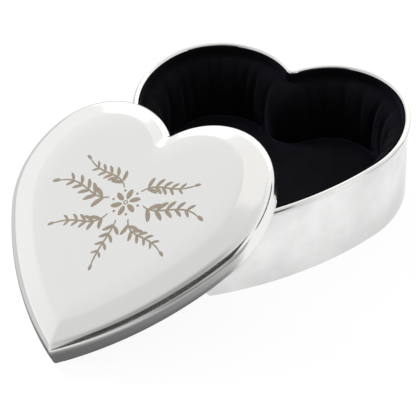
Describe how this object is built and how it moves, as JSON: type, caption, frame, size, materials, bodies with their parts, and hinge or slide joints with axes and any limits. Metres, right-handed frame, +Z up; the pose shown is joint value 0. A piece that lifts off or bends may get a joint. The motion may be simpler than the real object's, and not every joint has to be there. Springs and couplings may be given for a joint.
{
  "type": "heart-shaped trinket box",
  "caption": "Heart-shaped polished metal trinket box with padded velvet lining and a loose lift-off lid leaning on its rim.",
  "frame": {"origin": "on the floor under the middle of the box's heart outline, on the underside of the felt", "axes": "+Z up, +Y towards the notch between the lobes, -Y towards the point, +X to the right with the point nearest"},
  "size_m": [0.115, 0.1418, 0.0463],
  "materials": {
    "polished_plate": "mirror-polished silver plate on sheet metal",
    "velvet": "short black velvet pile",
    "felt": "thin black felt",
    "card": "grey-brown lining card",
    "wadding": "soft white wadding"
  },
  "bodies": {
    "box": {"side_wall": "polished_plate", "base_plate": "polished_plate", "base_felt": "felt", "wall_card": "card", "wall_wadding": "wadding", "wall_velvet": "velvet", "floor_card": "card", "floor_foam": "wadding", "floor_velvet": "velvet"},
    "lid": {"lid_shell": "polished_plate", "lid_flange": "polished_plate", "lid_card": "card", "lid_foam": "wadding", "lid_velvet": "velvet"}
  },
  "joints": [
    {"name": "lid_lift", "type": "slide", "parent": "box", "child": "lid", "axis": [0, 0, 1], "range_m": [0, 0.06]}
  ]
}
